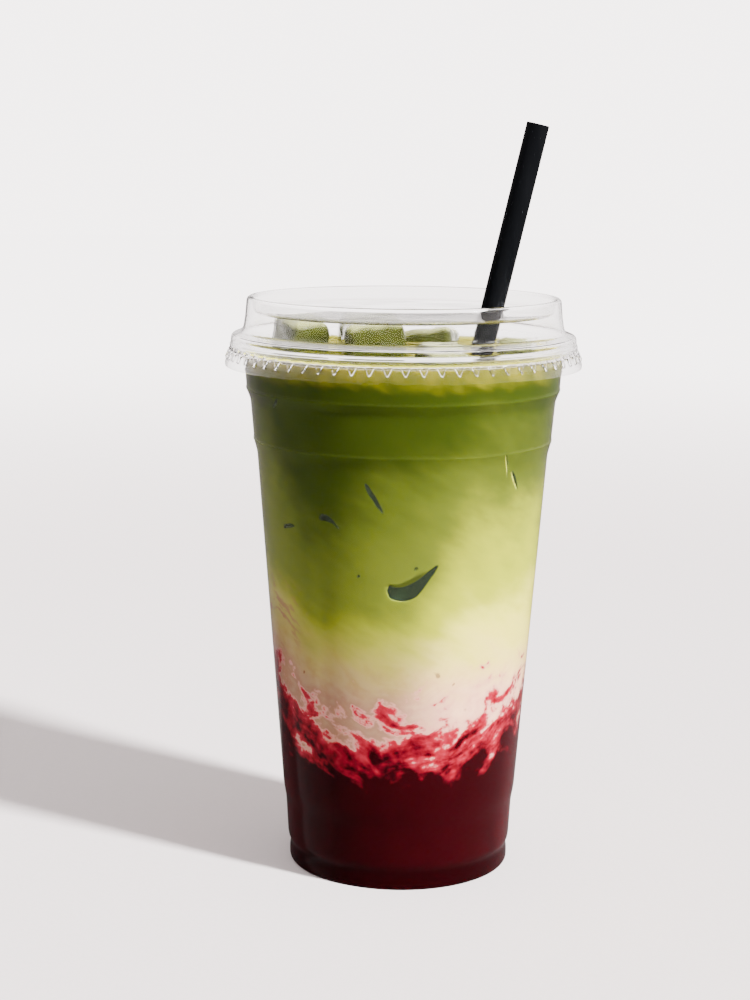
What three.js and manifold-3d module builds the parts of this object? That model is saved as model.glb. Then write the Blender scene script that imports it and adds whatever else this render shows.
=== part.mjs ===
// Iced matcha latte in a clear take-away cup: a thin plastic cup with a curled rim, a flat lid
// pressed over it, a black straw that leans through the lid, and a layered drink of fruit puree,
// milk and matcha with ice blocks that stand up out of it.
// Millimetres, +Z up, origin at the middle of the cup's foot, the straw leans towards +X.

import * as THREE from 'three';
import { mergeVertices } from 'three/addons/utils/BufferGeometryUtils.js';
import { ConvexGeometry } from 'three/addons/geometries/ConvexGeometry.js';
import { RoundedBoxGeometry } from 'three/addons/geometries/RoundedBoxGeometry.js';
import Module from 'manifold-3d';

const wasm = await Module();
wasm.setup();

// Free space kept between two pieces that touch in the real cup.
const GAP = 0.3;

// Cup: outside of the wall from the foot up, as [radius, height], then a curled rim.
const CUP_WALL = 0.6;
const CUP_SEGMENTS = 48;
const FOOT_INNER_RADIUS = 30.2;
const BASE_RISE = 2.0;
const BASE_RADIUS = 28.6;
const CUP_SECTION = [
	[ 31.9, 0 ], [ 32.45, 0.7 ], [ 32.45, 3.0 ], [ 32.15, 5.2 ], [ 32.95, 7.4 ],
	[ 33.6, 18.8 ], [ 34.35, 22.8 ], [ 42.15, 123.8 ], [ 43.15, 128.0 ],
	[ 44.05, 137.8 ], [ 45.15, 141.2 ], [ 45.85, 150.0 ],
];
const RIM_OUTER_RADIUS = 49;
const RIM_TOP = 154.5;
const RIM_CURL_RADIUS = 1.87;
const RIM_CURL_END = - 110;

// Lid: its upper side from the axis out to the lip, as [radius, height].
const LID_WALL = 0.5;
const LID_SEGMENTS = 66;
const PANEL_HEIGHT = 162.9;
const CROWN_RADIUS = 44.0;
const CROWN_CENTRE_HEIGHT = 165.9;
const CROWN_ROUND = 1.1;
const LID_PANEL = [ [ 0, PANEL_HEIGHT ], [ 42.1, PANEL_HEIGHT ], [ 42.7, 163.5 ] ];
const LID_SKIRT = [
	[ 45.6, 160.5 ], [ 46.1, 156.5 ], [ 46.8, 155.5 ], [ 49.5, 155.4 ],
	[ 50.15, 154.4 ], [ 49.84, 152.8 ], [ 51.3, 148.4 ], [ 51.25, 147.5 ],
];
const RIB_TOP = 152.6;
const RIB_BOTTOM = 149.6;
const RIB_TOP_WIDTH = 3.1;
const RIB_BOTTOM_WIDTH = 0.9;
const RIB_RADIUS = 50.75;

// Straw: a straight tube in the XZ plane.
const STRAW_RADIUS = 3.25;
const STRAW_WALL = 0.35;
const STRAW_SIDES = 24;
const STRAW_TOP = new THREE.Vector3( 37.4, 0, 216 );
const STRAW_IN_LID = new THREE.Vector3( 25.2, 0, PANEL_HEIGHT );
const STRAW_FOOT_HEIGHT = 3.8;
const STRAW_HOLE_RADIUS = 4.0;

// Drink: its level, and the mean heights of the two wavy borders between its layers.
const DRINK_LEVEL = 150.5;
const DRINK_SEGMENTS = 36;
const DRINK_RINGS = 3;
const FRUIT_MEAN_TOP = 42;
const MILK_MEAN_TOP = 79;

// Ice that stands out of the drink: centre, size, turn in degrees and how much it narrows upwards.
const ICE_ROUND = 2.4;
const ICE_BLOCKS = [
	{ name: 'ice_centre', at: [ - 9, 3, 150.0 ], size: [ 18, 21, 20 ], turn: [ 5, - 2, 8 ], narrows: 0.10 },
	{ name: 'ice_left', at: [ - 30.6, 12.5, 150.8 ], size: [ 13, 17, 18 ], turn: [ 4, 6, 28 ], narrows: 0.16 },
	{ name: 'ice_right', at: [ 33.2, 9, 145.6 ], size: [ 11, 19, 17 ], turn: [ - 6, 4, - 12 ], narrows: 0.12 },
	{ name: 'ice_front', at: [ 10.5, - 17, 146.0 ], size: [ 15, 14, 16 ], turn: [ 10, 8, 20 ], narrows: 0.20 },
	{ name: 'ice_back', at: [ 8, 29, 146.6 ], size: [ 19, 15, 17 ], turn: [ - 7, - 6, - 15 ], narrows: 0.14 },
];

// Shared shape helpers

function arc( radius, height, round, fromDegrees, toDegrees, steps ) {

	const points = [];
	for ( let i = 0; i <= steps; i ++ ) {

		const angle = THREE.MathUtils.degToRad( fromDegrees + ( toDegrees - fromDegrees ) * i / steps );
		points.push( [ radius + round * Math.cos( angle ), height + round * Math.sin( angle ) ] );

	}

	return points;

}

// Moves an open outline to its left by a distance, with mitred corners.
function inset( outline, distance ) {

	const points = outline.map( ( [ r, z ] ) => new THREE.Vector2( r, z ) );
	const normals = points.slice( 1 ).map( ( point, i ) => {

		const along = point.clone().sub( points[ i ] ).normalize();
		return new THREE.Vector2( - along.y, along.x );

	} );
	return points.map( ( point, i ) => {

		const before = normals[ Math.max( i - 1, 0 ) ];
		const after = normals[ Math.min( i, normals.length - 1 ) ];
		const mitre = before.clone().add( after ).multiplyScalar( distance / ( 1 + before.dot( after ) ) );
		return [ point.x + mitre.x, point.y + mitre.y ];

	} );

}

// Turns an outline about Z. It runs anticlockwise, and closes on itself or ends on the axis.
function lathe( outline, segments ) {

	const points = outline.map( ( [ r, z ] ) => new THREE.Vector2( r, z ) );
	if ( points[ 0 ].x > 0 ) points.push( points[ 0 ].clone() );
	return new THREE.LatheGeometry( points, segments ).rotateX( Math.PI / 2 );

}

function solidFrom( geometry ) {

	const bare = geometry.clone();
	bare.deleteAttribute( 'normal' );
	bare.deleteAttribute( 'uv' );
	const merged = mergeVertices( bare, 1e-4 );
	const corners = merged.index ? merged.index.array : merged.attributes.position.array.keys();
	const triVerts = [];
	for ( let i = 0; i < corners.length; i += 3 ) {

		const [ a, b, c ] = corners.slice( i, i + 3 );
		if ( a !== b && b !== c && c !== a ) triVerts.push( a, b, c );

	}

	return new wasm.Manifold( new wasm.Mesh( {
		numProp: 3,
		vertProperties: merged.attributes.position.array,
		triVerts: Uint32Array.from( triVerts ),
	} ) );

}

function geometryFrom( solid ) {

	const mesh = solid.getMesh();
	const geometry = new THREE.BufferGeometry();
	geometry.setAttribute( 'position', new THREE.BufferAttribute( mesh.vertProperties, 3 ) );
	geometry.setIndex( new THREE.BufferAttribute( mesh.triVerts, 1 ) );
	geometry.computeVertexNormals();
	return geometry;

}

function part( name, solid, look ) {

	const mesh = new THREE.Mesh( geometryFrom( solid ), new THREE.MeshStandardMaterial( look ) );
	mesh.name = name;
	return mesh;

}

// Cup: thermoformed from clear sheet, so the wall follows itself inside and out.

function makeCup() {

	const foot = [ [ 0, BASE_RISE ], [ BASE_RADIUS, BASE_RISE ], [ FOOT_INNER_RADIUS, 0 ] ];
	const outside = [ ...foot, ...CUP_SECTION ];
	const inside = inset( outside, CUP_WALL ).reverse();
	const curlRadius = RIM_OUTER_RADIUS - RIM_CURL_RADIUS;
	const curlHeight = RIM_TOP - RIM_CURL_RADIUS;
	const curlUnder = arc( curlRadius, curlHeight, RIM_CURL_RADIUS - CUP_WALL, 180, RIM_CURL_END, 5 );
	const curlOver = arc( curlRadius, curlHeight, RIM_CURL_RADIUS, RIM_CURL_END, 180, 7 );
	inside[ inside.length - 1 ][ 0 ] = 0;
	const outline = [ ...outside, ...curlUnder, ...curlOver, ...inside ];
	return part( 'cup', solidFrom( lathe( outline, CUP_SEGMENTS ) ), {
		color: 0xf2f4f2, roughness: 0.08, metalness: 0, transparent: true, opacity: 0.3,
	} );

}

// Lid: grips the rim, with a recessed panel inside a raised wall and a ribbed skirt.

function makeRib( index ) {

	const points = [];
	const rootTop = RIB_RADIUS - 1.1;
	for ( const side of [ - 1, 1 ] ) {

		points.push( new THREE.Vector3( rootTop, side * RIB_TOP_WIDTH / 2, RIB_TOP ) );
		points.push( new THREE.Vector3( RIB_RADIUS, side * RIB_TOP_WIDTH / 2, RIB_TOP ) );
		points.push( new THREE.Vector3( RIB_RADIUS - 0.15, side * RIB_BOTTOM_WIDTH / 2, RIB_BOTTOM ) );

	}

	return solidFrom( new ConvexGeometry( points ).rotateZ( 2 * Math.PI * ( index + 0.5 ) / LID_SEGMENTS ) );

}

function makeLid() {

	const crown = arc( CROWN_RADIUS, CROWN_CENTRE_HEIGHT, CROWN_ROUND, 180, 0, 4 );
	const upperSide = [ ...LID_PANEL, ...crown, ...LID_SKIRT ];
	const underside = inset( upperSide, - LID_WALL );
	underside[ 0 ][ 0 ] = 0;
	const outline = [ ...underside, ...upperSide.reverse() ];
	let lid = solidFrom( lathe( outline, LID_SEGMENTS ) );
	for ( let i = 0; i < LID_SEGMENTS; i ++ ) lid = lid.add( makeRib( i ) );
	return part( 'lid', lid.subtract( strawCore( STRAW_HOLE_RADIUS ) ), {
		color: 0xf6f7f6, roughness: 0.1, metalness: 0, transparent: true, opacity: 0.3,
	} );

}

// Straw: extruded along its axis, and the same line cuts the lid and the drink for it.

function strawLine( startHeight, endHeight ) {

	const slope = STRAW_TOP.clone().sub( STRAW_IN_LID ).divideScalar( STRAW_TOP.z - STRAW_IN_LID.z );
	const at = ( height ) => STRAW_IN_LID.clone().addScaledVector( slope, height - STRAW_IN_LID.z );
	return new THREE.LineCurve3( at( startHeight ), at( endHeight ) );

}

function circle( radius, PathClass = THREE.Shape ) {

	return new PathClass().absarc( 0, 0, radius, 0, 2 * Math.PI );

}

function alongStraw( shape, line ) {

	return solidFrom( new THREE.ExtrudeGeometry( shape, {
		extrudePath: line, steps: 1, curveSegments: STRAW_SIDES / 2, bevelEnabled: false,
	} ) );

}

function strawCore( radius ) {

	return alongStraw( circle( radius ), strawLine( - 5, STRAW_TOP.z ) );

}

function makeStraw() {

	const ring = circle( STRAW_RADIUS );
	ring.holes.push( circle( STRAW_RADIUS - STRAW_WALL, THREE.Path ) );
	return part( 'straw', alongStraw( ring, strawLine( STRAW_FOOT_HEIGHT, STRAW_TOP.z ) ), {
		color: 0x17181a, roughness: 0.45, metalness: 0,
	} );

}

// Ice: blocks with melted corners, a little narrower at the top.

function makeIceSolid( { at, size, turn, narrows }, grow = 0 ) {

	const [ width, depth, height ] = size.map( ( side ) => side + 2 * grow );
	const block = new RoundedBoxGeometry( width, depth, height, 1, ICE_ROUND + grow );
	const corners = block.attributes.position;
	for ( let i = 0; i < corners.count; i ++ ) {

		const scale = 1 - narrows * corners.getZ( i ) / height;
		corners.setXY( i, corners.getX( i ) * scale, corners.getY( i ) * scale );

	}

	const [ turnX, turnY, turnZ ] = turn.map( THREE.MathUtils.degToRad );
	block.applyMatrix4( new THREE.Matrix4().makeRotationFromEuler( new THREE.Euler( turnX, turnY, turnZ ) ) );
	return solidFrom( block.translate( ...at ) );

}

function makeIce() {

	return ICE_BLOCKS.map( ( block ) => part( block.name, makeIceSolid( block ), {
		color: 0xdfe8dc, roughness: 0.12, metalness: 0, transparent: true, opacity: 0.6,
	} ) );

}

// Drink: three layers with wavy borders, cut round the straw and the ice.

function fruitTop( angle, reach ) {

	const wave = 7 * Math.cos( 2 * angle + 0.3 ) + 3 * Math.sin( 5 * angle + 1 ) + 2.2 * Math.sin( 9 * angle );
	return FRUIT_MEAN_TOP + wave * reach;

}

function milkTop( angle, reach ) {

	const wave = 7 * Math.cos( angle ) + 2.6 * Math.sin( 3 * angle + 0.6 ) + 1.6 * Math.sin( 7 * angle + 2 );
	return MILK_MEAN_TOP + wave * reach;

}

// A disc wider than the cup, between two borders given as heights over angle and reach.
function slab( bottom, top ) {

	const reachOut = CUP_SECTION.at( - 1 )[ 0 ] + 2;
	const outline = [];
	for ( let ring = 0; ring <= DRINK_RINGS; ring ++ ) outline.push( [ reachOut * ring / DRINK_RINGS, 0 ] );
	for ( let ring = DRINK_RINGS; ring >= 0; ring -- ) outline.push( [ reachOut * ring / DRINK_RINGS, 1 ] );
	const disc = lathe( outline, DRINK_SEGMENTS );
	const corners = disc.attributes.position;
	for ( let i = 0; i < corners.count; i ++ ) {

		const border = corners.getZ( i ) > 0.5 ? top : bottom;
		const angle = Math.atan2( corners.getY( i ), corners.getX( i ) );
		const reach = Math.hypot( corners.getX( i ), corners.getY( i ) ) / reachOut;
		corners.setZ( i, border( angle, reach ) );

	}

	return solidFrom( disc );

}

function makeDrink() {

	const floor = BASE_RISE + CUP_WALL + GAP;
	const wall = inset( CUP_SECTION, CUP_WALL + GAP ).filter( ( [ , z ] ) => z > floor );
	const filled = solidFrom( lathe( [ [ 0, floor ], [ wall[ 0 ][ 0 ], floor ], ...wall,
		[ wall.at( - 1 )[ 0 ], DRINK_LEVEL ], [ 0, DRINK_LEVEL ] ], DRINK_SEGMENTS ) );
	const layers = [
		{ name: 'fruit_layer', from: () => 0, to: fruitTop, color: 0x6e1020 },
		{ name: 'milk_layer', from: ( ...at ) => fruitTop( ...at ) + GAP, to: milkTop, color: 0xe6dfc8 },
		{ name: 'matcha_layer', from: ( ...at ) => milkTop( ...at ) + GAP, to: () => RIM_TOP, color: 0x7c8f3a },
	];
	const iceRoom = ICE_BLOCKS.map( ( block ) => makeIceSolid( block, GAP ) );
	return layers.map( ( { name, from, to, color } ) => {

		let layer = filled.intersect( slab( from, to ) ).subtract( strawCore( STRAW_RADIUS + GAP ) );
		for ( const room of iceRoom ) layer = layer.subtract( room );
		return part( name, layer, { color, roughness: 0.25, metalness: 0 } );

	} );

}

const packaging = new THREE.Group().add( makeCup(), makeLid(), makeStraw() );
const drink = new THREE.Group().add( ...makeDrink(), ...makeIce() );

const icedMatchaLatte = new THREE.Group().add( packaging, drink );
icedMatchaLatte.name = 'iced_matcha_latte';

export default icedMatchaLatte;
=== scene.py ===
import math

import bpy
import bmesh
from mathutils import Matrix, Vector, noise


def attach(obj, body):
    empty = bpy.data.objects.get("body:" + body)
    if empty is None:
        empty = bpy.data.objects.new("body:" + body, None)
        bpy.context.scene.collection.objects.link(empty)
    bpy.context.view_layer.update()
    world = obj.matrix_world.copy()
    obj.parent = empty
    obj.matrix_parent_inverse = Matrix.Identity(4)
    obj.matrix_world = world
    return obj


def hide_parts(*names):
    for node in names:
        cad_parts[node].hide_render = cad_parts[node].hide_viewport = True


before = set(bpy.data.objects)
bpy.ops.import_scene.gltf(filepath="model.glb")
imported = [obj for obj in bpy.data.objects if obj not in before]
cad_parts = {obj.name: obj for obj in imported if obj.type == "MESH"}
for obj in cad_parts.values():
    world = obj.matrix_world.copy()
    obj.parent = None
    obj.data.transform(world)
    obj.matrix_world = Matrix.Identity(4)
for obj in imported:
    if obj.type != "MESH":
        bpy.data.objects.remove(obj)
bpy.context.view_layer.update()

# Cup: a clear plastic cold cup, formed thin from one warm sheet. It stands on a ring foot, widens in
# two steps where stacked cups catch each other, and ends in a curled rim that the lid is pressed over.
# Every outline in this script is in millimetres, as (radius, height) points on the outer side.
CUP_WALL = 0.6
CUP_FOOT = [(0.0, 2.0), (28.6, 2.0), (30.2, 0.0)]
CUP_SIDE = [
    (31.9, 0.0), (32.45, 0.7), (32.45, 3.0), (32.15, 5.2), (32.95, 7.4),
    (33.6, 18.8), (34.35, 22.8), (42.1, 122.4), (42.95, 125.6), (43.25, 126.3), (43.1, 127.1),
    (44.05, 137.8), (45.0, 140.2), (45.35, 140.9), (45.2, 141.7), (45.85, 150.0),
]
RIM_CURL = {"centre": (47.13, 152.63), "radius": 1.27, "first": 180, "last": -110, "steps": 26}
CUP_COLUMNS = 240


def arc(centre, radius, first, last, steps):
    """Points of a round stretch of a section, from one angle to another in degrees."""
    points = []
    for step in range(steps + 1):
        angle = math.radians(first + (last - first) * step / steps)
        points.append((centre[0] + radius * math.cos(angle), centre[1] + radius * math.sin(angle)))
    return points


def eased(points, reach=1.4, steps=5):
    """A section with its corners rounded, and a point beside each round that keeps flats flat."""
    smooth = [points[0]]
    for before, corner, after in zip(points, points[1:], points[2:]):
        corner = Vector(corner)
        back = Vector(before) - corner
        ahead = Vector(after) - corner
        trim_back = min(reach, 0.36 * back.length)
        trim_ahead = min(reach, 0.36 * ahead.length)
        start = corner + back.normalized() * trim_back
        end = corner + ahead.normalized() * trim_ahead
        smooth.append(tuple(start + back.normalized() * min(0.8, 0.1 * back.length)))
        for step in range(steps + 1):
            t = step / steps
            smooth.append(tuple(start * (1 - t) ** 2 + corner * 2 * t * (1 - t) + end * t * t))
        smooth.append(tuple(end + ahead.normalized() * min(0.8, 0.1 * ahead.length)))
    smooth.append(points[-1])
    return smooth


def beside(points, distance):
    """The same section moved sideways, to its left where the distance is positive."""
    moved = []
    for index, point in enumerate(points):
        before = Vector(points[max(index - 1, 0)])
        after = Vector(points[min(index + 1, len(points) - 1)])
        along = (after - before).normalized()
        moved.append((max(0.0, point[0] - along.y * distance), point[1] + along.x * distance))
    return moved


def new_mesh(name, vertices, faces, sharp_angle=40):
    """A smooth-shaded mesh from points in millimetres, with its normals turned outwards."""
    mesh = bpy.data.meshes.new(name)
    mesh.from_pydata([Vector(vertex) * 0.001 for vertex in vertices], [], faces)
    work = bmesh.new()
    work.from_mesh(mesh)
    bmesh.ops.recalc_face_normals(work, faces=work.faces)
    work.to_mesh(mesh)
    work.free()
    mesh.shade_smooth()
    mesh.set_sharp_from_angle(angle=math.radians(sharp_angle))
    return mesh


def turned(name, outline, columns, place=None):
    """A closed mesh turned round +Z from a closed section; place gives each point (angle, radius)."""
    vertices = []
    rings = []
    for radius, height in outline:
        if radius < 0.001:
            rings.append([len(vertices)] * columns)
            vertices.append((0.0, 0.0, height))
            continue
        rings.append(range(len(vertices), len(vertices) + columns))
        for column in range(columns):
            angle, reach = place(column, radius, height) if place else (math.tau * column / columns, radius)
            vertices.append((reach * math.cos(angle), reach * math.sin(angle), height))
    faces = []
    for lower, upper in zip(rings, rings[1:] + rings[:1]):
        for column in range(columns):
            following = (column + 1) % columns
            corners = [lower[column], lower[following], upper[following], upper[column]]
            face = list(dict.fromkeys(corners))
            if len(face) > 2:
                faces.append(face)
    return new_mesh(name, vertices, faces)


def show(name, mesh, material):
    """A new object in the scene for a mesh with one material."""
    piece = bpy.data.objects.new(name, mesh)
    mesh.materials.append(material)
    bpy.context.scene.collection.objects.link(piece)
    return piece


class Shade:
    """One socket of a node tree. Arithmetic on it adds Math nodes, and node() adds any other."""

    def __init__(self, tree, socket=None):
        self.tree = tree
        self.socket = socket

    def node(self, kind, settings=None, inputs=None, output=0):
        """Adds a node: its settings first, ramp stops among them, then its inputs."""
        made = self.tree.nodes.new(kind)
        for name, value in (settings or {}).items():
            if name != "stops":
                setattr(made, name, value)
                continue
            stops = made.color_ramp.elements
            while len(stops) < len(value):
                stops.new(1.0)
            for stop, (position, colour) in zip(stops, value):
                stop.position = position
                stop.color = (*colour, 1.0)
        for name, value in (inputs or {}).items():
            socket = made.inputs[name]
            if isinstance(value, Shade):
                self.tree.links.new(value.socket, socket)
            elif socket.type == "RGBA":
                socket.default_value = (*value, 1.0)
            else:
                socket.default_value = value
        return Shade(self.tree, made.outputs[output] if made.outputs else None)

    def math(self, operation, *values):
        return self.node("ShaderNodeMath", {"operation": operation}, dict(enumerate(values)))

    def __add__(self, other):
        return self.math("ADD", self, other)

    def __radd__(self, other):
        return self.math("ADD", other, self)

    def __sub__(self, other):
        return self.math("SUBTRACT", self, other)

    def __rsub__(self, other):
        return self.math("SUBTRACT", other, self)

    def __mul__(self, other):
        return self.math("MULTIPLY", self, other)

    def __rmul__(self, other):
        return self.math("MULTIPLY", other, self)

    def __truediv__(self, other):
        return self.math("DIVIDE", self, other)

    def __rtruediv__(self, other):
        return self.math("DIVIDE", other, self)


def new_material(name):
    """An empty material and a Shade on its node tree."""
    material = bpy.data.materials.new(name)
    material.use_nodes = True
    material.node_tree.nodes.clear()
    return material, Shade(material.node_tree)


def place_in_mm(shade):
    """The place on the object in millimetres, as a vector."""
    place = shade.node("ShaderNodeTexCoord", output="Object")
    return shade.node("ShaderNodeVectorMath", {"operation": "SCALE"}, {0: place, "Scale": 1000.0})


def grain(place, size, detail=2.0, stretch=(1.0, 1.0, 1.0)):
    """Noise from 0 to 1 with features of this size in millimetres, squeezed by stretch."""
    scaled = place.node("ShaderNodeVectorMath", {"operation": "MULTIPLY"}, {0: place, 1: stretch})
    return place.node("ShaderNodeTexNoise", None, {0: scaled, "Scale": 1.0 / size, "Detail": detail})


def near(value, centre, reach):
    """1 where a value is at the centre, fading to 0 at this reach from it."""
    off = value.math("ABSOLUTE", value - centre)
    return rise(off, reach, 0.0)


def rise(value, low, high):
    """A soft step from 0 to 1 between two values."""
    return value.node("ShaderNodeMapRange", {"interpolation_type": "SMOOTHSTEP"}, {
        "Value": value, "From Min": low, "From Max": high,
    })


def mixed(factor, first, second):
    """One colour over another."""
    return factor.node("ShaderNodeMix", {"data_type": "RGBA"}, {0: factor, 6: first, 7: second}, 2)


def clear_plastic(name, tint, roughness, wave_size, wave_depth, lets_through):
    """Glassy plastic with faint forming waves. It lets this share of a lamp's light shine through."""
    material, shade = new_material(name)
    place = place_in_mm(shade)
    waves = grain(place, wave_size, 1.0, (1.0, 1.0, 0.35)) * 0.8 + grain(place, wave_size * 0.15) * 0.04
    bump = shade.node("ShaderNodeBump", None, {"Height": waves, "Distance": wave_depth * 0.001})
    plastic = shade.node("ShaderNodeBsdfPrincipled", None, {
        "Base Color": tint, "Roughness": roughness, "IOR": 1.5, "Specular Tint": (0.14, 0.14, 0.14),
        "Transmission Weight": 1.0, "Normal": bump,
    })
    passing = shade.node("ShaderNodeBsdfTransparent", None, {"Color": (lets_through,) * 3})
    lamp = shade.node("ShaderNodeLightPath", output="Is Shadow Ray")
    surface = shade.node("ShaderNodeMixShader", None, {0: lamp, 1: plastic, 2: passing})
    shade.node("ShaderNodeOutputMaterial", None, {"Surface": surface})
    return material


cup_outer = eased(CUP_FOOT + CUP_SIDE)[:-1] + [CUP_SIDE[-1]] + arc(**RIM_CURL)
cup_outline = cup_outer + beside(cup_outer, CUP_WALL)[::-1]
cup = show("clear_cup", turned("clear_cup", cup_outline, CUP_COLUMNS),
           clear_plastic("cup_plastic", (0.985, 0.99, 0.99), 0.03, 26.0, 0.12, 0.973))
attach(cup, "root")
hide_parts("cup")

# Ice: blocks from an ice machine, half melted, so their corners are round and their faces dimpled.
# Five of them stand up out of the drink under the lid. The one at the back is a guess.
ICE_ROUND = 2.6
ICE_BLOCKS = {
    "ice_centre": {"at": (-9.0, 3.0, 150.0), "size": (18, 21, 20), "turn": (5, -2, 8), "narrows": 0.10},
    "ice_left": {"at": (-30.6, 12.5, 150.8), "size": (13, 17, 18), "turn": (4, 6, 28), "narrows": 0.16},
    "ice_right": {"at": (33.2, 9.0, 145.6), "size": (11, 19, 17), "turn": (-6, 4, -12), "narrows": 0.12},
    "ice_front": {"at": (10.5, -17.0, 146.0), "size": (15, 14, 16), "turn": (10, 8, 20), "narrows": 0.20},
    "ice_back": {"at": (8.0, 29.0, 146.6), "size": (19, 15, 17), "turn": (-7, -6, -15), "narrows": 0.14},
}
ICE_STEPS = 20
INTO_ICE = 0.12


def melted_block(name, at, size, turn, narrows, grow=0.0):
    """A block with round corners, narrower at its top, and dimpled by melting."""
    cube = bmesh.new()
    bmesh.ops.create_cube(cube, size=2.0)
    bmesh.ops.subdivide_edges(cube, edges=cube.edges, cuts=ICE_STEPS, use_grid_fill=True)
    turned_to = Matrix.Identity(3)
    for axis, angle in zip("XYZ", turn):
        turned_to = turned_to @ Matrix.Rotation(math.radians(angle), 3, axis)
    half = Vector(size) / 2
    core = half - Vector((ICE_ROUND, ICE_ROUND, ICE_ROUND))
    vertices = []
    for vertex in cube.verts:
        spot = Vector(part * side for part, side in zip(vertex.co, half))
        inner = Vector(max(-limit, min(limit, part)) for part, limit in zip(spot, core))
        outward = (spot - inner).normalized()
        if outward.length < 0.5:
            outward = spot.normalized()
        dimple = 0.45 * noise.noise((spot + Vector(at)) / 5.5)
        dimple += 0.15 * noise.noise((spot - Vector(at)) / 2.2)
        spot = inner + outward * (ICE_ROUND + dimple + grow)
        taper = 1 - narrows * spot.z / size[2]
        spot = Vector((spot.x * taper, spot.y * taper, spot.z))
        vertices.append(turned_to @ spot + Vector(at))
    faces = [[vertex.index for vertex in face.verts] for face in cube.faces]
    cube.free()
    return new_mesh(name, vertices, faces, 180)


def frozen(name, pale, film, mirror, cloud, wave_depth):
    """Wet ice: clear and pale on top, with a film of the drink down its sides, and a rippled skin."""
    material, shade = new_material(name)
    place = place_in_mm(shade)
    normal = shade.node("ShaderNodeNewGeometry", output="Normal")
    upward = shade.node("ShaderNodeSeparateXYZ", None, {0: normal}, "Z")
    bare = rise(upward + (grain(place, 6.0, 4.0) - 0.5) * 1.2, 0.25, 0.85)
    cast = mixed(bare, film, pale)
    ripples = grain(place, 3.2, 2.0)
    bump = shade.node("ShaderNodeBump", None, {"Height": ripples, "Distance": wave_depth * 0.001})
    ice = shade.node("ShaderNodeBsdfPrincipled", None, {
        "Base Color": cast, "Roughness": 0.06, "IOR": 1.31, "Specular Tint": (mirror,) * 3,
        "Transmission Weight": 1.0 - cloud, "Normal": bump,
    })
    passing = shade.node("ShaderNodeBsdfTransparent", None, {"Color": (0.9, 0.92, 0.9)})
    lamp = shade.node("ShaderNodeLightPath", output="Is Shadow Ray")
    surface = shade.node("ShaderNodeMixShader", None, {0: lamp, 1: ice, 2: passing})
    shade.node("ShaderNodeOutputMaterial", None, {"Surface": surface})
    return material


ice_material = frozen("melting_ice", (0.25, 0.26, 0.10), (0.030, 0.036, 0.003), 0.4, 0.68, 0.35)
ice_rooms = []
for block_name, block in ICE_BLOCKS.items():
    block_piece = show("melted_" + block_name, melted_block(block_name, **block), ice_material)
    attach(block_piece, "root")
    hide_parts(block_name)
    ice_rooms.append(melted_block(block_name + "_room", grow=-INTO_ICE, **block))

# Sunken ice: slivers of blocks that float wholly under the surface and just touch the wall, where they
# show as dark grey-green marks. Each is a bent, tapered sliver along its path on the wall, given as
# (degrees round from the front, height), with its thickness in the middle.
SUNKEN_ICE = {
    "front": {"path": [(-6.5, 89.6), (2.0, 86.4), (14.5, 96.6)], "thick": 6.6},
    "front_crumb": {"path": [(4.2, 95.3), (5.2, 95.8), (6.2, 95.6)], "thick": 1.2},
    "high_front": {"path": [(-15, 119.0), (-11.8, 116.0), (-7.6, 111.0)], "thick": 3.4},
    "left": {"path": [(-35, 108.4), (-30, 109.8), (-25.5, 105.8)], "thick": 2.2},
    "far_left": {"path": [(-55.5, 103.8), (-52, 105.0), (-48, 104.8)], "thick": 1.5},
    "right": {"path": [(40.8, 126.2), (43.4, 124.0), (43.6, 119.4)], "thick": 2.2},
    "far_right": {"path": [(46.0, 121.0), (48.8, 118.4), (50.4, 115.8)], "thick": 2.2},
    "high_left": {"path": [(-55.5, 138.0), (-53, 140.2), (-50.5, 140.8)], "thick": 2.0},
    "left_crumb": {"path": [(-18.6, 92.6), (-17.9, 93.3), (-17.2, 92.9)], "thick": 1.0},
    "back": {"path": [(168, 99.0), (177, 98.4), (188, 104.6)], "thick": 5.0},
    "back_left": {"path": [(218, 119.6), (222, 116.4), (225, 112)], "thick": 2.6},
    "back_right": {"path": [(122, 112), (127, 114.6), (132, 112.2)], "thick": 2.2},
}
SLIVER_STEPS = 16
SLIVER_SIDES = 12
INTO_CUP = 0.25


def wall_radius(height):
    """Radius of the cup's inner side at a height in millimetres."""
    for (low_radius, low), (high_radius, high) in zip(CUP_SIDE, CUP_SIDE[1:]):
        if low <= height <= high:
            return low_radius + (high_radius - low_radius) * (height - low) / (high - low) - CUP_WALL
    return CUP_SIDE[-1][0] - CUP_WALL


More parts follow.
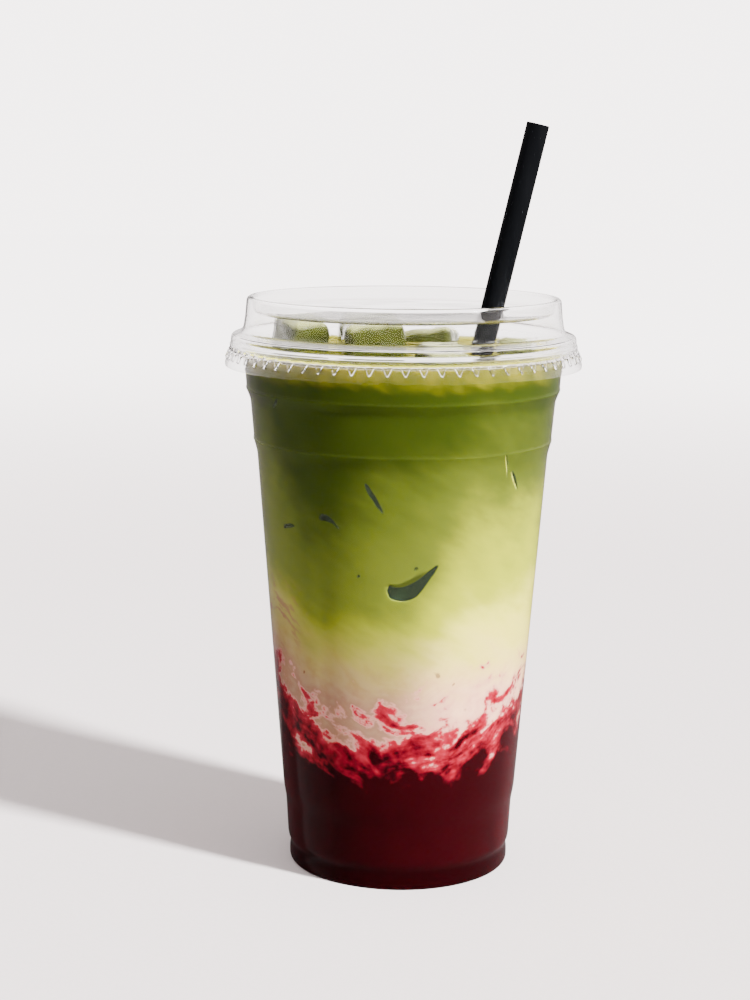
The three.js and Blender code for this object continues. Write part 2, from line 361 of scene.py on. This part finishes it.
def sliver(name, path, thick, grow=0.0):
    """A bent sliver of ice along a path on the wall, thin at both ends."""
    vertices = [None]
    for step in range(1, SLIVER_STEPS):
        t = step / SLIVER_STEPS
        (degrees_0, height_0), (degrees_1, height_1), (degrees_2, height_2) = path
        degrees = degrees_0 * (1 - t) ** 2 + degrees_1 * 2 * t * (1 - t) + degrees_2 * t * t
        height = height_0 * (1 - t) ** 2 + height_1 * 2 * t * (1 - t) + height_2 * t * t
        angle = math.radians(degrees - 90)
        chipped = 1 + 0.5 * noise.noise(Vector((t * 3.4, path[0][0], path[0][1])))
        half_thick = 0.5 * thick * chipped * math.sqrt(math.sin(math.pi * t ** 0.75)) + grow
        depth = half_thick * 1.3
        face = wall_radius(height) + INTO_CUP
        for side in range(SLIVER_SIDES):
            turn = math.tau * side / SLIVER_SIDES
            reach = min(face, face + depth * (math.cos(turn) - 0.5))
            vertices.append((reach * math.cos(angle), reach * math.sin(angle),
                             height + half_thick * math.sin(turn)))
    ends = []
    for degrees, height in (path[0], path[-1]):
        angle = math.radians(degrees - 90)
        reach = wall_radius(height) + 0.1
        ends.append((reach * math.cos(angle), reach * math.sin(angle), height))
    vertices[0] = ends[0]
    vertices.append(ends[1])
    faces = []
    last = len(vertices) - 1
    for side in range(SLIVER_SIDES):
        following = (side + 1) % SLIVER_SIDES
        faces.append([0, 1 + following, 1 + side])
        faces.append([last, last - SLIVER_SIDES + side, last - SLIVER_SIDES + following])
        for step in range(SLIVER_STEPS - 2):
            row = 1 + step * SLIVER_SIDES
            faces.append([row + side, row + following,
                          row + SLIVER_SIDES + following, row + SLIVER_SIDES + side])
    return new_mesh(name, vertices, faces, 60)


# Wholly under the drink, the slivers have no bare top: their paler upper faces are painted light from above.
sunken_material = frozen("sunken_ice", (0.34, 0.42, 0.27), (0.17, 0.23, 0.13), 0.05, 0.06, 0.2)
for sliver_name, shape in SUNKEN_ICE.items():
    sliver_piece = show("sunken_ice_" + sliver_name, sliver(sliver_name, **shape), sunken_material)
    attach(sliver_piece, "root")
    ice_rooms.append(sliver(sliver_name + "_room", grow=-INTO_ICE, **shape))

# Straw: a straight satin-black plastic tube, pushed through the lid at a slant, with its cut end
# against the foot of the cup.
STRAW_RADIUS = 3.25
STRAW_WALL = 0.35
STRAW_SIDES = 72
STRAW_TOP = Vector((37.4, 0.0, 216.0))
STRAW_IN_LID = Vector((25.2, 0.0, 162.9))
STRAW_FOOT_HEIGHT = 3.8
STRAW_CUT_ROUND = 0.08


def along_straw(mesh):
    """Moves a mesh that was turned round +Z, with its foot at 0, onto the straw's slanted line."""
    lean = (STRAW_TOP - STRAW_IN_LID).normalized()
    foot = STRAW_IN_LID + lean * ((STRAW_FOOT_HEIGHT - STRAW_IN_LID.z) / lean.z)
    tilt = Vector((0, 0, 1)).rotation_difference(lean).to_matrix().to_4x4()
    mesh.transform(Matrix.Translation(foot * 0.001) @ tilt)
    return mesh


def satin_black():
    """Moulded polypropylene: near black, a little blue, with fine lines drawn along the tube."""
    material, shade = new_material("straw_plastic")
    place = place_in_mm(shade)
    scuffs = grain(place, 2.6, 4.0, (1.0, 1.0, 0.08))
    colour = mixed(scuffs, (0.0015, 0.0017, 0.0022), (0.0035, 0.0038, 0.0045))
    lines = grain(place, 0.5, 2.0, (1.0, 1.0, 0.03))
    bump = shade.node("ShaderNodeBump", None, {"Height": lines, "Distance": 0.00002})
    plastic = shade.node("ShaderNodeBsdfPrincipled", None, {
        "Base Color": colour, "Roughness": scuffs * 0.12 + 0.36, "Specular IOR Level": 0.03,
        "Specular Tint": (0.35, 0.38, 0.42), "Normal": bump,
    })
    shade.node("ShaderNodeOutputMaterial", None, {"Surface": plastic})
    return material


straw_length = (STRAW_TOP.z - STRAW_FOOT_HEIGHT) / (STRAW_TOP - STRAW_IN_LID).normalized().z
straw_inside = STRAW_RADIUS - STRAW_WALL
straw_outline = [
    (straw_inside, STRAW_CUT_ROUND), (straw_inside + STRAW_CUT_ROUND, 0.0),
    (STRAW_RADIUS - STRAW_CUT_ROUND, 0.0), (STRAW_RADIUS, STRAW_CUT_ROUND),
    (STRAW_RADIUS, straw_length - STRAW_CUT_ROUND), (STRAW_RADIUS - STRAW_CUT_ROUND, straw_length),
    (straw_inside + STRAW_CUT_ROUND, straw_length), (straw_inside, straw_length - STRAW_CUT_ROUND),
]
straw = show("black_straw", along_straw(turned("black_straw", straw_outline, STRAW_SIDES)), satin_black())
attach(straw, "root")
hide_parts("straw")

# Drink: berry puree at the foot, cold milk over it and matcha poured in last, so the three flow into
# each other. It fills the cup up to the level, climbs a little at the wall, and is cut round the
# straw and the ice. Its colours are painted through its whole volume by place, with painted light
# and shade in them: paler towards the lamp, darker on the far side, at the foot and in the ice pockets.
DRINK_LEVEL = 150.5
DRINK_TOP_TILT = 0.2
INTO_WALL = 0.14
WALL_SLOPE = 0.0772
WALL_FOOT = 31.3
MENISCUS = [(2.6, 0.0), (1.4, 0.12), (0.7, 0.42), (0.3, 0.85), (0.0, 1.4)]
DRINK_COLUMNS = 240


def carved(piece, cutters):
    """Takes the volumes of other meshes out of a piece, which keeps its one material."""
    material = piece.data.materials[0]
    for cutter_mesh in cutters:
        cutter = bpy.data.objects.new("cutter", cutter_mesh)
        bpy.context.scene.collection.objects.link(cutter)
        cut = piece.modifiers.new("cut", "BOOLEAN")
        cut.operation = "DIFFERENCE"
        cut.solver = "MANIFOLD"
        cut.object = cutter
        bpy.context.view_layer.update()
        whole = piece.evaluated_get(bpy.context.evaluated_depsgraph_get())
        result = bpy.data.meshes.new_from_object(whole)
        piece.modifiers.remove(cut)
        piece.data = result
        bpy.data.objects.remove(cutter)
    piece.data.materials.clear()
    piece.data.materials.append(material)
    piece.data.polygons.foreach_set("material_index", [0] * len(piece.data.polygons))
    piece.data.set_sharp_from_angle(angle=math.radians(50))


def layered_drink(name, wet):
    """The painted volume of the drink: matt where it lies against the wall, glossy where it is wet."""
    berry_deep = (0.013, 0.0006, 0.0013)
    berry_crimson = (0.045, 0.0012, 0.0036)
    berry_red = (0.14, 0.0028, 0.009)
    berry_bright = (0.26, 0.014, 0.028)
    berry_pink = (0.48, 0.24, 0.20)
    # The milk and the blush of fruit come as lit and shaded copies, for painted light and shade.
    milk_lit_white = (0.62, 0.41, 0.27)
    milk_shade = (0.24, 0.155, 0.095)
    matcha_milk = (0.50, 0.47, 0.07)
    matcha_pale = (0.27, 0.29, 0.010)
    matcha_green = (0.088, 0.106, 0.011)
    matcha_deep = (0.021, 0.032, 0.0026)
    blush_in_shade = (0.17, 0.075, 0.055)
    pocket_shade_colour = (0.010, 0.017, 0.011)

    material, shade = new_material(name)
    place = place_in_mm(shade)
    parts = shade.node("ShaderNodeSeparateXYZ", None, {0: place}).socket.node.outputs
    across, depth, height = (Shade(shade.tree, part) for part in parts)
    reach = shade.math("SQRT", across * across + depth * depth)
    side = across / reach
    turn = shade.math("ARCTAN2", across, 0.0 - depth) / math.tau + 0.5

    stir = shade.node("ShaderNodeTexNoise", None, {0: place, "Scale": 1 / 14, "Detail": 1.0}, 1)
    stir = shade.node("ShaderNodeVectorMath", {"operation": "SUBTRACT"}, {0: stir, 1: (0.5, 0.5, 0.5)})
    stir = shade.node("ShaderNodeVectorMath", {"operation": "SCALE"}, {0: stir, "Scale": 10.0})
    stirred = shade.node("ShaderNodeVectorMath", {"operation": "ADD"}, {0: place, 1: stir})
    sideways = shade.math("SQRT", across * across + 90.0)
    drift = shade.node("ShaderNodeCombineXYZ", None, {2: sideways * -0.6})
    drawn = shade.node("ShaderNodeVectorMath", {"operation": "ADD"}, {0: stirred, 1: drift})
    swirl = grain(place, 17.0, 2.0, (1.0, 1.0, 1.3))
    marble = grain(drawn, 9.0, 9.0, (1.0, 1.0, 1.7))
    thread = grain(drawn, 5.0, 5.0, (1.0, 1.0, 3.0))
    pulp = grain(place, 2.2, 4.0)

    # Border between berry and milk: its height round the cup, with the swirls folded into it.
    border = shade.node("ShaderNodeValToRGB", {"stops": [
        (0.0, (0.46, 0.46, 0.46)), (0.12, (0.38, 0.38, 0.38)), (0.22, (0.48, 0.48, 0.48)),
        (0.29, (0.57, 0.57, 0.57)), (0.35, (0.43, 0.43, 0.43)), (0.43, (0.36, 0.36, 0.36)),
        (0.49, (0.43, 0.43, 0.43)), (0.54, (0.41, 0.41, 0.41)), (0.62, (0.46, 0.46, 0.46)),
        (0.70, (0.47, 0.47, 0.47)), (0.84, (0.42, 0.42, 0.42)), (1.0, (0.46, 0.46, 0.46)),
    ]}, {0: turn}) * 100.0
    folds = (marble - 0.5) * 3.0 + (thread - 0.5) * 0.8 + (pulp - 0.5) * 1.1
    berry = (border - height + (swirl - 0.5) * 10.0) / 19.0 + folds + rise(height, 35.0, 28.0) + 0.5
    berry_colour = shade.node("ShaderNodeValToRGB", {"stops": [
        (0.02, berry_pink), (0.25, berry_bright), (0.56, berry_red),
        (0.84, berry_crimson), (1.0, berry_deep),
    ]}, {0: berry})
    # Near the left and right edges the berry is drawn towards crimson, which lightens the deep berry:
    # painted light at the silhouette.
    edge_light_paint = rise(shade.math("ABSOLUTE", side), 0.80, 1.0) * 0.5
    berry_colour = mixed(edge_light_paint, berry_colour, berry_crimson)
    # Painted shade: the berry is darkened towards the foot, in the undercut above the ring.
    berry_colour = mixed(rise(height, 7.6, 4.6) * 0.6, berry_colour, (0.003, 0.0001, 0.0003))
    berry_cover = rise(berry, -0.24, 0.20)

    # Milk: painted light and shade make it white on the side to the light and darker pinkish beige on
    # the other. Its blush of fruit is painted pink in the light and brown in shade.
    to_light = rise(side, -0.15, 0.45)
    milk_colour = mixed(to_light, milk_shade, milk_lit_white)
    blush = rise(berry, -1.1, 0.0) * 0.55
    milk_colour = mixed(blush, milk_colour, mixed(to_light, blush_in_shade, berry_pink))

    # Matcha: comes in over the milk in clouds that slant down to the right. Painted light and shade make
    # it paler on the side towards the light and deeper green on the side in shade.
    slant = shade.node("ShaderNodeCombineXYZ", None, {0: across, 1: depth, 2: height + across * 0.45})
    cloud = grain(slant, 24.0, 3.0, (1.0, 1.0, 1.7)) - 0.5
    wisp = grain(slant, 8.0, 4.0, (1.0, 1.0, 2.2)) - 0.5
    lit = rise(side, -0.05, 0.5)
    # The shaded term turns negative at the far left edge, which paints a lighter haze there: painted
    # reflection.
    shaded = rise(side, 0.0, -0.6) - rise(side, -0.62, -0.98) * 2.2
    stirred_height = height + cloud * 30.0 + wisp * 12.0
    matcha_strength_and_shade = stirred_height - lit * 31.0 + shaded * 6.0
    matcha_colour = mixed(rise(matcha_strength_and_shade, 42.0, 63.0), matcha_milk, matcha_pale)
    matcha_colour = mixed(rise(matcha_strength_and_shade, 60.0, 92.0), matcha_colour, matcha_green)
    deep_green_and_shade = rise(stirred_height - lit * 13.0 + shaded * 12.0, 90.0, 134.0)
    matcha_colour = mixed(deep_green_and_shade, matcha_colour, matcha_deep)
    # At the far left edge the matcha starts higher, so the edge stays milky: the same painted haze.
    painted_edge_haze = rise(side, -0.60, -0.95)
    matcha = rise(height + cloud * 18.0 + wisp * 6.0 - painted_edge_haze * 13.0, 53.0, 80.0)
    body = mixed(matcha, milk_colour, matcha_colour)
    # Trails of fruit on the far left, drawn in the blush's shaded copy.
    trails = rise(thread + (marble - 0.5) * 0.6, 0.54, 0.64) * near(height, 77.0, 15.0)
    trails = trails * rise(side, -0.62, -0.92)
    body = mixed(trails * 0.75, body, blush_in_shade)
    body = mixed(berry_cover, body, berry_colour)

    # Seeds and shreds of fruit that float in the milk.
    seeds = shade.node("ShaderNodeTexVoronoi", None, {0: stirred, "Scale": 1 / 7, "Randomness": 1.0})
    shreds = rise(seeds + (pulp - 0.5) * 0.25, 0.12, 0.05) * near(height, 58.0, 20.0)
    body = mixed(shreds * 0.8, body, (0.05, 0.006, 0.009))

    # Pockets that hold ice are painted dark inside: painted shade, which is how the ice shows through
    # the wall as dark marks.
    wall = height * WALL_SLOPE + WALL_FOOT
    pocket_shade = rise(wall - reach, -0.3, 0.3) * rise(height, 149.0, 147.0) * rise(height, 60.0, 70.0)
    body = mixed(pocket_shade, body, pocket_shade_colour)

    # Froth: a thin yellow-green ring where the drink meets the wall, and paler patches over its top,
    # more of them towards the right and the back.
    froth = mixed(rise(pulp + wisp, 0.3, 0.8), (0.085, 0.086, 0.003), (0.145, 0.132, 0.006))
    body = mixed(rise(height + wisp * 6.0, 144.0, 149.6), body, froth)
    if wet:
        patches = rise(grain(place, 7.0, 5.0) + side * 0.12 + depth * 0.002, 0.42, 0.68)
        body = mixed(patches, (0.036, 0.037, 0.003), (0.115, 0.104, 0.016))
    finish = {
        "Base Color": body, "Roughness": 0.5, "IOR": 1.34, "Specular IOR Level": 0.0,
        "Subsurface Weight": 0.8, "Subsurface Radius": (1.0, 0.85, 0.4), "Subsurface Scale": 0.009,
    }
    if wet:
        finish["Roughness"] = 0.25
        ripples = grain(place, 9.0, 1.0)
        finish["Normal"] = shade.node("ShaderNodeBump", None, {"Height": ripples, "Distance": 0.0006})
    liquid = shade.node("ShaderNodeBsdfPrincipled", None, finish)
    shade.node("ShaderNodeOutputMaterial", None, {"Surface": liquid})
    return material


cup_inner = [point for point in beside(cup_outer, CUP_WALL - INTO_WALL) if point[1] < DRINK_LEVEL - 2.0]
rim_of_drink = wall_radius(DRINK_LEVEL - 1.0) + INTO_WALL
drink_outline = cup_inner + [
    (rim_of_drink - 0.1, DRINK_LEVEL - 0.6),
    *((rim_of_drink + 0.05 - back, DRINK_LEVEL + up) for back, up in reversed(MENISCUS)),
    (0.0, DRINK_LEVEL),
]
drink = show("layered_drink", turned("layered_drink", drink_outline, DRINK_COLUMNS),
             layered_drink("layered_drink", wet=False))
straw_room = STRAW_RADIUS - 0.1
straw_core = [(0.0, -1.0), (straw_room, -1.0), (straw_room, straw_length), (0.0, straw_length)]
carved(drink, ice_rooms + [along_straw(turned("straw_core", straw_core, STRAW_SIDES))])
drink.data.materials.append(layered_drink("drink_surface", wet=True))
for face in drink.data.polygons:
    if face.center.z * 1000 > DRINK_LEVEL - 0.5 and face.normal.z > DRINK_TOP_TILT:
        face.material_index = 1
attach(drink, "root")
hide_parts("fruit_layer", "milk_layer", "matcha_layer")

# Lid: a flat clear lid, formed from thinner sheet than the cup. A hollow ring crown stands round its
# flat panel, its skirt steps out over the cup's rim, and ribs round the skirt help it to grip.
LID_WALL = 0.5
LID_PANEL = [(0.0, 162.9), (42.1, 162.9), (42.7, 163.5), (42.9, 165.9)]
LID_CROWN = {"centre": (44.0, 165.9), "radius": 1.1, "first": 180, "last": 0, "steps": 16}
LID_SKIRT = [
    (45.1, 165.9), (45.5, 161.5), (46.0, 158.4), (46.6, 157.3), (49.2, 156.3),
    (49.55, 155.6), (49.62, 154.1), (49.98, 153.5), (49.86, 152.7),
]
LID_FLARE_END = (51.3, 148.4)
LID_LIP = (51.25, 147.5)
RIBS = 66
RIB_TOP = 152.6
RIB_BOTTOM = 149.6
RIB_TOP_WIDTH = 3.3
RIB_BOTTOM_WIDTH = 0.5
RIB_HEIGHT = 0.5
RIB_EDGE = 0.12
STRAW_HOLE_RADIUS = 4.0


def rib_column(column, radius, height):
    """Places a point of the lid: six columns to a rib, which follow the rib's slanting edges."""
    rib, part = divmod(column, 6)
    up = max(0.0, min(1.0, (height - RIB_BOTTOM) / (RIB_TOP - RIB_BOTTOM)))
    half_width = 0.5 * (RIB_BOTTOM_WIDTH + (RIB_TOP_WIDTH - RIB_BOTTOM_WIDTH) * up)
    outer, inner = half_width + RIB_EDGE, half_width - RIB_EDGE
    across = (-math.pi * radius / RIBS, -outer, -inner, 0.0, inner, outer)[part]
    angle = math.tau * (rib + 0.5) / RIBS + across / radius
    on_skirt = RIB_BOTTOM < height < RIB_TOP and radius > LID_SKIRT[-1][0] - LID_WALL - 0.2
    return angle, radius + (RIB_HEIGHT * (1 - 0.7 * up) if on_skirt and part in (2, 3, 4) else 0.0)


flare_start = Vector(LID_SKIRT[-1])
flare_run = Vector(LID_FLARE_END) - flare_start
flare = [tuple(flare_start + flare_run * step / 12) for step in range(2, 12)]
lid_outer = eased(LID_PANEL, 0.5)[:-1] + arc(**LID_CROWN) + eased(LID_SKIRT, 0.35)[1:]
lid_outer += flare + [LID_FLARE_END, LID_LIP]
lid_outline = lid_outer + beside(lid_outer, -LID_WALL)[::-1]
lid = show("clear_lid", turned("clear_lid", lid_outline, 6 * RIBS, rib_column),
           clear_plastic("lid_plastic", (0.99, 0.99, 0.985), 0.03, 18.0, 0.10, 0.88))
hole_core = [(0.0, 140.0), (STRAW_HOLE_RADIUS, 140.0), (STRAW_HOLE_RADIUS, 185.0), (0.0, 185.0)]
carved(lid, [along_straw(turned("straw_hole", hole_core, STRAW_SIDES))])
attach(lid, "root")
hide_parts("lid")

# Table and backdrop: a plain pale sweep. The floor is lit near the cup and fades into the even glow
# of a dome far away, which clear plastic and wet ice reflect as a soft studio.
FLOOR_RADIUS = 4000.0
DOME_RADIUS = 6000.0


def mirrored_only(shade):
    """1 for a ray that a glossy surface mirrors, and 0 for one that passes through it."""
    glossy = shade.node("ShaderNodeLightPath", output="Is Glossy Ray")
    passing = shade.node("ShaderNodeLightPath", output="Is Transmission Ray")
    return glossy * (1.0 - passing)


def round_floor():
    """Matt board near the cup, then the glow of the backdrop, so that no horizon shows."""
    material, shade = new_material("pale_floor")
    place = place_in_mm(shade)
    tooth = grain(place, 1.8, 4.0)
    colour = mixed(tooth, (0.88, 0.80, 0.81), (0.93, 0.85, 0.86))
    bump = shade.node("ShaderNodeBump", None, {"Height": tooth, "Distance": 0.00006})
    board = shade.node("ShaderNodeBsdfPrincipled", None, {
        "Base Color": colour, "Roughness": 0.7, "Specular IOR Level": 0.15, "Normal": bump,
    })
    far_off = shade.node("ShaderNodeVectorMath", {"operation": "LENGTH"}, {0: place}, "Value")
    seen = shade.node("ShaderNodeLightPath", output="Is Camera Ray")
    light = mixed(seen, (4.5, 4.185, 4.14), (5.3, 4.93, 4.88))
    glow = shade.node("ShaderNodeEmission", None, {"Color": light, "Strength": 1.0})
    fade = rise(far_off, 400.0, 1500.0)
    sweep = shade.node("ShaderNodeMixShader", None, {0: fade, 1: board, 2: glow})
    flag = shade.node("ShaderNodeBsdfDiffuse", None, {"Color": (0.0, 0.0, 0.0)})
    surface = shade.node("ShaderNodeMixShader", None, {0: mirrored_only(shade) * 0.9, 1: sweep, 2: flag})
    shade.node("ShaderNodeOutputMaterial", None, {"Surface": surface})
    material.cycles.emission_sampling = "NONE"
    return material


def studio_dome():
    """An even glow all round. Mirrored in the cup it is kept dark, as by black flags, but for overhead."""
    material, shade = new_material("studio_glow")
    up = shade.node("ShaderNodeTexCoord", output="Generated")
    level = shade.node("ShaderNodeSeparateXYZ", None, {0: up}, "Z")
    mirrored = mirrored_only(shade)
    flagged = mirrored * (1.0 - rise(level, 0.70, 0.88))
    seen = shade.node("ShaderNodeLightPath", output="Is Camera Ray")
    light = mixed(seen, (4.6, 4.28, 4.23), (5.4, 5.02, 4.97))
    light = mixed(flagged, light, (0.5, 0.465, 0.46))
    glow = shade.node("ShaderNodeEmission", None, {"Color": light, "Strength": 1.0})
    shade.node("ShaderNodeOutputMaterial", None, {"Surface": glow})
    material.cycles.emission_sampling = "NONE"
    return material


floor_outline = [(0.0, -4.0), (FLOOR_RADIUS, -4.0), (FLOOR_RADIUS, 0.0), (0.0, 0.0)]
floor = show("pale_floor", turned("pale_floor", floor_outline, 96), round_floor())
dome_outline = arc((0.0, 0.0), DOME_RADIUS, -90, 90, 36)
dome = show("studio_dome", turned("studio_dome", dome_outline, 96), studio_dome())
dome.visible_diffuse = False
dome.visible_shadow = False

# Light: one large lamp high on the right, a little in front, which throws the long soft shadow to the
# left, and a weak even fill from the room.
LAMP_RISE = math.radians(34)
LAMP_DIRECTION = Vector((0.826, -0.563, 0.0)) * math.cos(LAMP_RISE) + Vector((0.0, 0.0, math.sin(LAMP_RISE)))
LAMP_STRENGTH = 16.0
LAMP_ANGLE = 5.5
FILL_STRENGTH = 0.95

lamp_data = bpy.data.lights.new("studio_lamp", "SUN")
lamp_data.energy = LAMP_STRENGTH
lamp_data.angle = math.radians(LAMP_ANGLE)
lamp_data.color = (1.0, 0.985, 0.965)
lamp = bpy.data.objects.new("studio_lamp", lamp_data)
lamp.rotation_euler = LAMP_DIRECTION.to_track_quat("Z", "Y").to_euler()
bpy.context.scene.collection.objects.link(lamp)
world = bpy.data.worlds.new("studio_fill")
world.use_nodes = True
world.node_tree.nodes["Background"].inputs["Color"].default_value = (1.0, 0.94, 0.92, 1.0)
world.node_tree.nodes["Background"].inputs["Strength"].default_value = FILL_STRENGTH
bpy.context.scene.world = world

# Camera: the photograph's view, from 0.58 m in front and 44 mm above the lid, looking down by ten
# degrees. Its place, tilt and lens were fitted to the ellipses of the cup and the lid.
CAMERA_PLACE = Vector((-7.81, -582.3, 210.9)) * 0.001
CAMERA_PITCH = 10.056
CAMERA_ROLL = 0.496
CAMERA_LENS = 72.91

camera_data = bpy.data.cameras.new("photo_camera")
camera_data.lens = CAMERA_LENS
camera = bpy.data.objects.new("photo_camera", camera_data)
pitch = Matrix.Rotation(math.radians(90 - CAMERA_PITCH), 4, "X")
roll = Matrix.Rotation(math.radians(CAMERA_ROLL), 4, "Z")
camera.matrix_world = Matrix.Translation(CAMERA_PLACE) @ pitch @ roll
bpy.context.scene.collection.objects.link(camera)
bpy.context.scene.camera = camera
